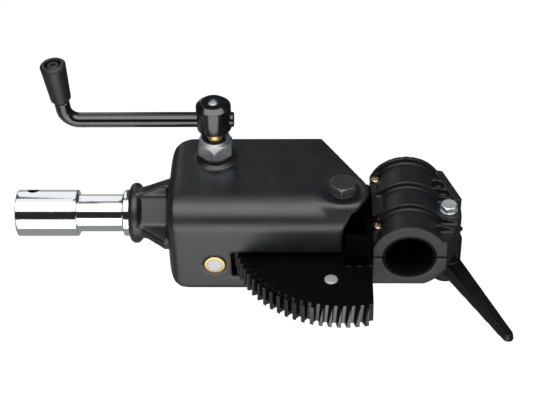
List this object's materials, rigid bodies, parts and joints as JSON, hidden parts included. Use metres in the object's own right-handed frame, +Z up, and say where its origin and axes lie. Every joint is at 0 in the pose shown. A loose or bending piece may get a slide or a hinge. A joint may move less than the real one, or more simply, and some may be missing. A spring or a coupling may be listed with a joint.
{
  "type": "geared tilt head",
  "caption": "Hand-cranked worm and toothed sector that tilts a split tube clamp on a hollow cast housing with a chromed stand spigot.",
  "frame": {"origin": "middle of the stand spigot's thick end, on its axis", "axes": "+X along the spigot towards the tube clamp; +Y to the rear, away from the side the sector stands out of; +Z up along the crank shaft and the tilt pivot"},
  "size_m": [0.2976, 0.1163, 0.1446],
  "materials": {
    "housing_paint": "satin",
    "gear_paint": "gloss",
    "crank_paint": "gloss",
    "spigot_chrome": "polished",
    "black_steel": "satin",
    "zinc_steel": "satin",
    "yellow_zinc": "satin",
    "machined_steel": "satin",
    "bearing_brass": "satin",
    "nut_nylon": "matte",
    "washer_plastic": "matte",
    "clamp_plastic": "satin",
    "liner_rubber": "matte",
    "grip_plastic": "matte"
  },
  "bodies": {
    "head": {"housing": "housing_paint", "base_plate": "housing_paint", "base_screws": "black_steel", "spigot": "spigot_chrome", "spigot_bolt": "black_steel", "spigot_washer": "zinc_steel", "crank_bush": "bearing_brass", "crank_washer": "black_steel", "crank_nut": "zinc_steel", "crank_nut_ring": "nut_nylon", "worm_bush_front": "bearing_brass", "worm_bush_rear": "bearing_brass", "thrust_washer_top": "washer_plastic", "thrust_washer_bottom": "washer_plastic", "pivot_bolt": "black_steel", "pivot_washer": "black_steel", "pivot_nut_washer": "black_steel", "pivot_nut": "black_steel"},
    "crank": {"crank_shaft": "crank_paint", "crank_bevel": "machined_steel", "crank_bevel_pin": "machined_steel", "crank_rod": "crank_paint", "rod_set_screw": "zinc_steel", "grip_screw": "zinc_steel"},
    "grip": {"grip": "grip_plastic"},
    "worm": {"worm_shaft": "machined_steel", "worm_bevel": "machined_steel", "worm_bevel_pin": "machined_steel", "worm_collar": "machined_steel", "worm_collar_pin": "machined_steel"},
    "tilt_head": {"sector_gear": "gear_paint", "sector_rivet": "machined_steel", "tilt_bracket": "gear_paint", "pivot_bush_top": "bearing_brass", "pivot_bush_bottom": "bearing_brass", "clamp_lower": "clamp_plastic", "clamp_upper": "clamp_plastic", "clamp_liner_lower": "liner_rubber", "clamp_liner_upper": "liner_rubber", "clamp_mount_screws": "black_steel", "clamp_screws": "yellow_zinc", "clamp_bolt": "zinc_steel", "clamp_bolt_washer": "zinc_steel", "lever_washer": "zinc_steel"},
    "lever": {"lever": "clamp_plastic", "lever_insert": "zinc_steel"}
  },
  "joints": [
    {"name": "crank_spin", "type": "hinge", "parent": "head", "child": "crank", "pos_m": [0.10169, 0.015, 0.0588], "axis": [0, 0, 1], "range_deg": [-2340, 2340]},
    {"name": "worm_spin", "type": "hinge", "parent": "head", "child": "worm", "pos_m": [0.10169, 0, -0.0103], "axis": [0, 1, 0], "range_deg": [-2340, 2340]},
    {"name": "tilt", "type": "hinge", "parent": "head", "child": "tilt_head", "pos_m": [0.177, -0.015, 0], "axis": [0, 0, 1], "range_deg": [-30, 30]},
    {"name": "grip_spin", "type": "hinge", "parent": "crank", "child": "grip", "pos_m": [0.01489, 0.015, 0.0588], "axis": [-0.0906, 0, 0.9959], "continuous": true},
    {"name": "lever_turn", "type": "hinge", "parent": "tilt_head", "child": "lever", "pos_m": [0.2396, -0.0085, -0.02], "axis": [0, 0, 1], "range_deg": [-60, 120]}
  ],
  "couplings": [
    {"joint": "worm_spin", "follows": "crank_spin", "ratio": 1},
    {"joint": "tilt", "follows": "crank_spin", "ratio": 0.012821}
  ]
}
